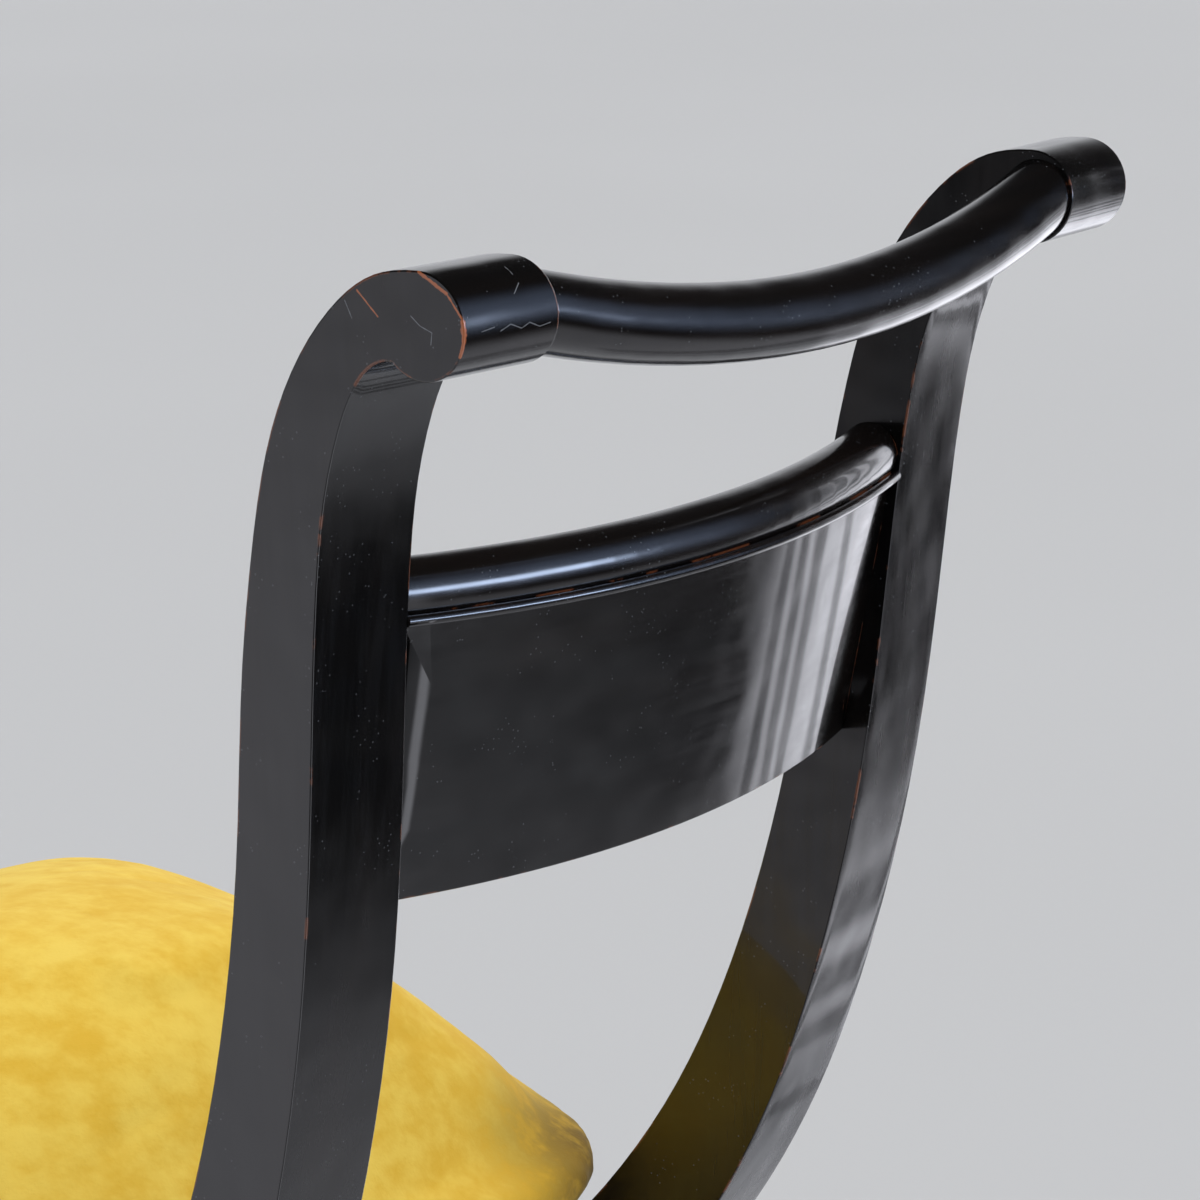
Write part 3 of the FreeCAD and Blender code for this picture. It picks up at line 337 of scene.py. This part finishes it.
# %% Dust and small knocks
# Voronoi cells give round specks: one layer of fine pale dust, and one of rarer pits.
specks, entry, leave = start_group(
    "dust_and_knocks", [("Amount", FLOAT, 0.5)], [("Dust", FLOAT), ("Knocks", FLOAT)])
spot_place = place_on_object(specks)
for socket, scale, size in (("Dust", 420.0, 0.16), ("Knocks", 90.0, 0.07)):
    cells = add_node(specks, "ShaderNodeTexVoronoi", values={"Scale": scale})
    join(specks, spot_place, cells.inputs["Vector"])
    spot = ramp(specks, cells.outputs["Distance"], 0.5 * size, size, 1.0, 0.0)
    chance = noise(specks, spot_place, 0.13 * scale, 2.0)
    limit = math_node(specks, "MULTIPLY_ADD", entry.outputs["Amount"], -0.3)
    limit.node.inputs[2].default_value = 0.72
    kept = math_node(specks, "GREATER_THAN", chance, limit)
    join(specks, math_node(specks, "MULTIPLY", spot, kept), leave.inputs[socket])
print("shared effects:", [g.name for g in bpy.data.node_groups])

# %% [markdown]
# ## Ebonised wood
# The stain leaves the wood nearly black with a trace of brown. A thin rubbed polish lies over
# it: satin, glossier where hands pass. The base colour stays close to black, and almost all
# that is seen is the room reflected by the polish, so the roughness map matters most. One
# function makes the finish for three grain directions.

# %% Ebonised wood
BLACK_STAIN = (0.0020, 0.0019, 0.0020)
BROWN_STAIN = (0.0085, 0.0058, 0.0046)
COPPER_WOOD = (0.42, 0.125, 0.045)
PALE_DUST = (0.16, 0.17, 0.19)
SATIN = 0.22
RUBBED_SATIN = 0.18
GRAIN_DEPTH = 0.0002
WAVE_DEPTH = 0.0010
WAVE_SCALE = 34.0
POLISH_WEIGHT = 0.5
POLISH_ROUGHNESS = 0.03


def ebonised(name, stretch, roughness=SATIN, copper_strokes=(), pale_strokes=()):
    material, tree, shader = start_material(name)
    lines = use_group(tree, streaks)
    join(tree, place_on_object(tree, stretch), lines.inputs["Place"])
    wear = use_group(tree, rubbed)
    spots = use_group(tree, specks, Amount=0.55)
    stain = mixed(tree, ramp(tree, lines.outputs["Broad"], 0.35, 0.75), BLACK_STAIN, BROWN_STAIN)
    stain = mixed(tree, math_node(tree, "MULTIPLY", spots.outputs["Dust"], 0.5), stain, PALE_DUST)
    stain = mixed(tree, wear.outputs["Mask"], stain, COPPER_WOOD)
    for strokes, colour in ((copper_strokes, COPPER_WOOD), (pale_strokes, PALE_DUST)):
        if strokes:
            stain = mixed(tree, stroke_mask(tree, strokes), stain, colour)
    join(tree, stain, shader.inputs["Base Color"])
    gloss = ramp(tree, lines.outputs["Broad"], 0.3, 0.7, roughness - 0.05, roughness + 0.06)
    fine_gloss = ramp(tree, lines.outputs["Fine"], 0.3, 0.7, -0.03, 0.04)
    gloss = math_node(tree, "ADD", gloss, fine_gloss)
    gloss = math_node(tree, "ADD", gloss, math_node(tree, "MULTIPLY", wear.outputs["Mask"], 0.2))
    join(tree, gloss, shader.inputs["Roughness"])
    height = math_node(tree, "MULTIPLY", lines.outputs["Fine"], 0.25)
    height = math_node(tree, "SUBTRACT", height, spots.outputs["Knocks"])
    bump = add_node(tree, "ShaderNodeBump", values={"Strength": 0.12, "Distance": GRAIN_DEPTH})
    join(tree, height, bump.inputs["Height"])
    waves = add_node(tree, "ShaderNodeBump", values={"Strength": 0.8, "Distance": WAVE_DEPTH})
    join(tree, noise(tree, place_on_object(tree), WAVE_SCALE, 1.0), waves.inputs["Height"])
    join(tree, bump.outputs["Normal"], waves.inputs["Normal"])
    join(tree, waves.outputs["Normal"], shader.inputs["Normal"])
    shader.inputs["Coat Weight"].default_value = POLISH_WEIGHT
    shader.inputs["Coat Roughness"].default_value = POLISH_ROUGHNESS
    return material


def stroke_mask(tree, strokes):
    """Every stroke: where it starts and ends on the piece, in millimetres, and its width."""
    place = place_on_object(tree)
    wavering = noise(tree, place, 700.0, 3.0)
    mask = None
    for start, end, width in strokes:
        line = use_group(tree, scuff, Start=[c / 1000 for c in start], End=[c / 1000 for c in end],
                         Width=width / 1000)
        join(tree, place, line.inputs["Place"])
        join(tree, wavering, line.inputs["Waver"])
        found = line.outputs["Mask"]
        mask = found if mask is None else math_node(tree, "MAXIMUM", mask, found)
    return mask


UPRIGHT_GRAIN = (1.0, 1.0, 0.06)
CROSS_GRAIN = (0.06, 1.0, 1.0)
LENGTH_GRAIN = (1.0, 0.06, 1.0)
# Knocks seen on the near scroll: copper where the stain is gone, pale where the polish is
# only scratched. The first three copper marks and the first four pale ones lie on the outer
# face, the rest on the round.
COPPER_STROKES = [
    ((209.0, 248.6, 844.2), (209.1, 256.7, 836.6), 0.5),
    ((210.8, 273.5, 852.2), (211.2, 284.5, 846.3), 1.1),
    ((211.2, 284.5, 846.3), (211.2, 290.8, 838.2), 0.7),
    ((211.6, 290.7, 838.3), (210.8, 290.9, 832.0), 2.2),
    ((210.9, 290.9, 833.0), (210.5, 289.1, 826.9), 1.3),
]
PALE_STROKES = [
    ((209.9, 269.9, 838.1), (210.0, 273.4, 835.3), 0.3),
    ((210.0, 273.4, 835.3), (210.2, 278.1, 833.6), 0.3),
    ((210.2, 278.1, 833.6), (210.0, 277.5, 829.8), 0.25),
    ((208.5, 243.5, 840.5), (208.4, 246.1, 835.1), 0.25),
    ((183.9, 290.3, 843.5), (179.4, 288.8, 846.1), 0.3),
    ((178.7, 283.0, 850.6), (179.0, 286.3, 848.6), 0.3),
    ((202.6, 291.4, 834.1), (196.4, 291.8, 834.8), 0.3),
    ((193.3, 291.9, 833.2), (188.6, 292.3, 834.8), 0.35),
    ((188.6, 292.3, 834.8), (183.0, 292.4, 832.8), 0.35),
    ((183.0, 292.4, 832.8), (179.2, 292.8, 834.2), 0.3),
    ((179.2, 292.8, 834.2), (174.0, 292.9, 832.3), 0.35),
    ((174.0, 292.9, 832.3), (168.6, 293.3, 832.9), 0.3),
]
ebonised_upright = ebonised("ebonised_upright", UPRIGHT_GRAIN, SATIN,
                            COPPER_STROKES, PALE_STROKES)
ebonised_scroll = ebonised("ebonised_scroll", CROSS_GRAIN, RUBBED_SATIN,
                           COPPER_STROKES, PALE_STROKES)
ebonised_cross = ebonised("ebonised_cross", CROSS_GRAIN, RUBBED_SATIN)
ebonised_length = ebonised("ebonised_length", LENGTH_GRAIN)

# %% [markdown]
# ## Softened wooden pieces
# The CAD solids have knife-sharp arrises. On the chair every arris is broken with a scraper,
# about half a millimetre, and that narrow round catches the light. A merged copy of each
# solid is cleaned of its triangles on flat faces, given a narrow bevel, and stands for the
# solid. Edges that close a joint are spared, so that shoulders stay tight.

# %% Soften one piece
MERGE_GAP = 0.00001
ARRIS_STEPS = 3
FLAT_FACE_WEIGHT = 100
FLAT_ANGLE = math.radians(0.04)
ARRIS_ANGLE = math.radians(38)
SMOOTH_ANGLE = math.radians(60)


def merged_copy(name, label):
    """A copy of a CAD node's mesh with its loose triangles joined."""
    mesh = nodes[name].data.copy()
    mesh.materials.clear()
    piece = bpy.data.objects.new(label, mesh)
    bpy.context.collection.objects.link(piece)
    bpy.ops.object.select_all(action="DESELECT")
    piece.select_set(True)
    bpy.context.view_layer.objects.active = piece
    bpy.ops.object.mode_set(mode="EDIT")
    bpy.ops.mesh.select_all(action="SELECT")
    bpy.ops.mesh.remove_doubles(threshold=MERGE_GAP)
    bpy.ops.mesh.dissolve_limited(angle_limit=FLAT_ANGLE)
    bpy.ops.object.mode_set(mode="OBJECT")
    return piece


def softened(name, material, width, spared=None):
    """Stands for a wooden node: arrises rounded by width, except where spared says so."""
    piece = merged_copy(name, name + "_finish")
    mesh = piece.data
    if width:
        sharp = sharp_edges(mesh, spared)
        weights = mesh.attributes.new("bevel_weight_edge", "FLOAT", "EDGE")
        weights.data.foreach_set("value", [float(i in sharp) for i in range(len(mesh.edges))])
        bevel = piece.modifiers.new("arris", "BEVEL")
        bevel.width = width
        bevel.segments = ARRIS_STEPS
        bevel.limit_method = "WEIGHT"
        bevel.use_clamp_overlap = False
        bpy.ops.object.modifier_apply(modifier="arris")
    bpy.ops.object.shade_smooth_by_angle(angle=SMOOTH_ANGLE)
    even = piece.modifiers.new("even_shade", "WEIGHTED_NORMAL")
    even.weight = FLAT_FACE_WEIGHT
    even.keep_sharp = True
    bpy.ops.object.modifier_apply(modifier="even_shade")
    piece.data.materials.append(material)
    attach(piece, "root")
    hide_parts(name)
    print(piece.name, "faces:", len(piece.data.polygons))
    return piece


def sharp_edges(mesh, spared):
    """Numbers of the edges between two faces that meet at an arris."""
    sides = {}
    for face in mesh.polygons:
        for key in face.edge_keys:
            sides.setdefault(key, []).append(face.normal)
    found = set()
    for edge in mesh.edges:
        normals = sides.get(edge.key, [])
        if len(normals) != 2 or normals[0].angle(normals[1], 0) < ARRIS_ANGLE:
            continue
        middle = (mesh.vertices[edge.vertices[0]].co + mesh.vertices[edge.vertices[1]].co) / 2
        if spared is None or not spared(middle):
            found.add(edge.index)
    return found


# %% [markdown]
# ## The frame of the chair
# The stiles, legs, panel and seat rails get the rounded arris. The crest rail is round and
# ends inside the scrolls, so it has no arris that shows, only smooth shading. The panel keeps
# its ends sharp, where it is housed in the stiles.

# %% Dress the frame
ARRIS = 0.0006
panel_low, panel_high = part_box("back_panel")
SCROLL_DEPTH = 0.032
PANEL_END = panel_high[0] - 0.016
PANEL_FOOT = panel_low[2] + 0.02
RAIL_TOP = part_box("left_side_rail")[1][2]
HOUSED_BELOW = RAIL_TOP + 0.002
SCROLL_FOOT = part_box("left_stile")[1][2] - SCROLL_DEPTH


def beyond_panel(point):
    return abs(point.x) > PANEL_END or point.z > PANEL_FOOT


def inside_rail(point):
    return point.z < HOUSED_BELOW


def polish_scroll(stile):
    """The round of the scroll is rubbed across, so its faces get the cross finish."""
    stile.data.materials.append(ebonised_scroll)
    for face in stile.data.polygons:
        if face.center.z > SCROLL_FOOT and abs(face.normal.x) < 0.5:
            face.material_index = 1


for side in ("left", "right"):
    polish_scroll(softened(side + "_stile", ebonised_upright, ARRIS, inside_rail))
    softened(side + "_side_rail", ebonised_length, ARRIS)
    softened(side + "_front_leg", ebonised_upright, ARRIS)
    softened(side + "_rear_leg", ebonised_upright, ARRIS)
softened("front_rail", ebonised_cross, ARRIS)
softened("rear_rail", ebonised_cross, ARRIS)
softened("crest_rail", ebonised_cross, 0)
softened("back_panel", ebonised_cross, ARRIS, beyond_panel)

# %% [markdown]
# ## Velvet
# Velvet is a dense upright pile. Rubbed one way it is bright, the other way dark, so a used
# seat is mottled all over in soft patches, and it glows a little at its edges. The colour
# changes between two golds with a wide and a middle noise, and the same field tilts the
# surface a little, as the leaning pile does. The sheen is the shader's own. In the rear
# corner by the right stile a dark gold is laid in patches. This is painted shade where the
# stile meets the seat.

# %% Velvet
PALE_GOLD = (0.95, 0.68, 0.115)
DEEP_GOLD = (0.83, 0.51, 0.050)
# Painted shade: a dark gold laid in the seat's rear corner, where the right stile meets it.
CORNER_SHADE_GOLD = (0.20, 0.115, 0.020)
CORNER_SHADE_AT = (-0.150, 0.100, 0.415)
CORNER_SHADE_REACH = 0.075


def distance_to(tree, place):
    """How far a point of the piece lies from one place, in metres."""
    away = add_node(tree, "ShaderNodeVectorMath", operation="DISTANCE")
    join(tree, place_on_object(tree), away.inputs[0])
    away.inputs[1].default_value = place
    return away.outputs["Value"]


def velvet_finish():
    material, tree, shader = start_material("velvet")
    where = place_on_object(tree, (1, 0.75, 1.2))
    wide = noise(tree, where, 14.0, 3.0, 0.6)
    middle = noise(tree, where, 75.0, 3.0, 0.65)
    crush = math_node(tree, "MULTIPLY_ADD", wide, 0.55)
    join(tree, math_node(tree, "MULTIPLY", middle, 0.45), crush.node.inputs[2])
    nap = ramp(tree, crush, 0.36, 0.64)
    gold = mixed(tree, nap, DEEP_GOLD, PALE_GOLD)
    # Painted shade: the dark gold in the rear corner by the right stile, broken up by the middle
    # noise.
    corner_shade = math_node(tree, "MULTIPLY_ADD", wide, -0.05)
    join(tree, distance_to(tree, CORNER_SHADE_AT), corner_shade.node.inputs[2])
    corner_shade = math_node(tree, "MULTIPLY", ramp(tree, corner_shade, 0.0, CORNER_SHADE_REACH, 1.0, 0.0),
                     ramp(tree, middle, 0.3, 0.6, 0.55, 1.0))
    join(tree, mixed(tree, corner_shade, gold, CORNER_SHADE_GOLD), shader.inputs["Base Color"])
    pile = noise(tree, place_on_object(tree), 900.0, 2.0)
    height = math_node(tree, "MULTIPLY_ADD", crush, 6.0)
    join(tree, pile, height.node.inputs[2])
    bump = add_node(tree, "ShaderNodeBump", values={"Strength": 0.35, "Distance": 0.0004})
    join(tree, height, bump.inputs["Height"])
    join(tree, bump.outputs["Normal"], shader.inputs["Normal"])
    join(tree, ramp(tree, crush, 0.3, 0.7, 0.95, 0.8), shader.inputs["Roughness"])
    shader.inputs["Sheen Weight"].default_value = 0.2
    shader.inputs["Sheen Roughness"].default_value = 0.45
    shader.inputs["Sheen Tint"].default_value = (1.0, 0.9, 0.6, 1)
    shader.inputs["Specular IOR Level"].default_value = 0.2
    return material


velvet = velvet_finish()

# %% [markdown]
# ## The cushion
# The seat is stuffed to a dome and the velvet is drawn tight over it, so the shape is that of
# a skin under pressure. It could be drawn with subdivision surfaces, but a short cloth
# simulation finds the swell by itself. The start is the stuffing's solid, with its skin moved
# out to the velvet's face and its rim drawn down over the seat frame. Its foot and the
# hollows round the stiles are pinned, and no point may move further than a cap, so that the
# cushion stays in its place.

# %% Blow up the cushion
VOXEL = 0.006
SWELL_CAP = 0.012
PRESSURE = 4
CLOTH_QUALITY = 5
LAST_FRAME = 20
HELD_HEIGHT = 0.006
HELD_FADE = 0.02
STILE_DEPTH = 0.03
STILE_ROOM = 0.035
STILE_FADE = 0.03
SEAT_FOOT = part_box("seat_cover")[0][2]
STUFFING_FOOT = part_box("seat_stuffing")[0][2]
VELVET_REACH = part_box("seat_cover")[1][0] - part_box("seat_stuffing")[1][0]
stile_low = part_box("left_stile")[0]


def held_share(point):
    """1 where the velvet is tacked down or lies against a stile, 0 where it is free."""
    foot = 1 - min(1, max(0, (point.z - SEAT_FOOT - HELD_HEIGHT) / HELD_FADE))
    corner = Vector((stile_low[0], stile_low[1] + STILE_DEPTH))
    away = (Vector((abs(point.x), point.y)) - corner).length
    near = 1 - min(1, max(0, (away - STILE_ROOM) / STILE_FADE))
    return max(foot, near)


def draw_over_frame(cushion):
    """Moves the skin out to the velvet's face, and its rim down over the seat frame."""
    for vertex in cushion.data.vertices:
        outwards = Vector((vertex.normal.x, vertex.normal.y, max(0, vertex.normal.z)))
        on_rim = vertex.co.z < STUFFING_FOOT + VOXEL / 2 and outwards.xy.length > 0.3
        vertex.co += outwards * VELVET_REACH
        if on_rim:
            vertex.co.z = SEAT_FOOT


def blown_cushion():
    cushion = merged_copy("seat_stuffing", "seat_cushion")
    remesh = cushion.modifiers.new("even", "REMESH")
    remesh.mode = "VOXEL"
    remesh.voxel_size = VOXEL
    bpy.ops.object.modifier_apply(modifier="even")
    draw_over_frame(cushion)
    start = [v.co.copy() for v in cushion.data.vertices]
    pins = cushion.vertex_groups.new(name="tacked")
    for vertex in cushion.data.vertices:
        pins.add([vertex.index], held_share(vertex.co), "REPLACE")
    cloth = cushion.modifiers.new("velvet", "CLOTH")
    cloth.settings.vertex_group_mass = "tacked"
    cloth.settings.use_pressure = True
    cloth.settings.uniform_pressure_force = PRESSURE
    cloth.settings.effector_weights.gravity = 0
    cloth.settings.quality = CLOTH_QUALITY
    for step in range(1, LAST_FRAME + 1):
        bpy.context.scene.frame_set(step)
    bpy.ops.object.modifier_apply(modifier="velvet")
    bpy.context.scene.frame_set(1)
    for vertex, before in zip(cushion.data.vertices, start):
        move = vertex.co - before
        if move.length > SWELL_CAP:
            vertex.co = before + move.normalized() * SWELL_CAP
    finer = cushion.modifiers.new("finer", "SUBSURF")
    finer.levels = 1
    finer.render_levels = 1
    bpy.ops.object.modifier_apply(modifier="finer")
    bpy.ops.object.shade_smooth()
    return cushion


cushion = blown_cushion()
cushion.data.materials.append(velvet)
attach(cushion, "root")
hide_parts("seat_cover", "seat_stuffing")
print("cushion points:", len(cushion.data.vertices), "velvet reach:", round(VELVET_REACH, 4))

# %% [markdown]
# ## Finishes under the seat
# Nobody sees these pieces unless the chair is turned over, but they are there: pine blocks,
# steel screws, jute webbing, hessian and a thin black cloth. Each keeps its CAD shape and gets
# its own finish. The velvet is drawn over the seat frame, so the frame is finished in velvet.

# %% Plain finishes
def plain_finish(name, dark, pale, stretch, scale, roughness, bump_depth):
    material, tree, shader = start_material(name)
    where = place_on_object(tree, stretch)
    pattern = noise(tree, where, scale, 4.0, 0.6)
    colour = mixed(tree, ramp(tree, pattern, 0.35, 0.65), dark, pale)
    join(tree, colour, shader.inputs["Base Color"])
    join(tree, ramp(tree, pattern, 0.3, 0.7, roughness + 0.08, roughness - 0.05),
         shader.inputs["Roughness"])
    bump = add_node(tree, "ShaderNodeBump", values={"Strength": 0.4, "Distance": bump_depth})
    join(tree, pattern, bump.inputs["Height"])
    join(tree, bump.outputs["Normal"], shader.inputs["Normal"])
    return material, tree, shader


ALONG_THE_BLOCK = (1, 0.1, 1)
EVEN = (1, 1, 1)
pine = plain_finish("pine", (0.50, 0.30, 0.13), (0.68, 0.46, 0.24),
                    ALONG_THE_BLOCK, 90, 0.6, 0.0003)[0]
steel, _, steel_shader = plain_finish(
    "steel", (0.42, 0.42, 0.43), (0.60, 0.60, 0.61), EVEN, 300, 0.35, 0.0001)
steel_shader.inputs["Metallic"].default_value = 1.0
jute = plain_finish("webbing", (0.30, 0.20, 0.11), (0.52, 0.38, 0.22),
                    EVEN, 500, 0.85, 0.0005)[0]
sack = plain_finish("hessian", (0.36, 0.26, 0.15), (0.58, 0.45, 0.28),
                    EVEN, 700, 0.9, 0.0006)[0]
black_cloth = plain_finish(
    "bottoming_cloth", (0.010, 0.010, 0.011), (0.03, 0.03, 0.033), EVEN, 900, 0.9, 0.0003)[0]

FINISHES = {"corner_block": pine, "seat_frame": velvet, "screws": steel, "webbing": jute,
            "hessian": sack, "bottoming_cloth": black_cloth}
for name, node in nodes.items():
    for word, finish in FINISHES.items():
        if word in name:
            node.data.materials.clear()
            node.data.materials.append(finish)
            print(name, "gets", finish.name)
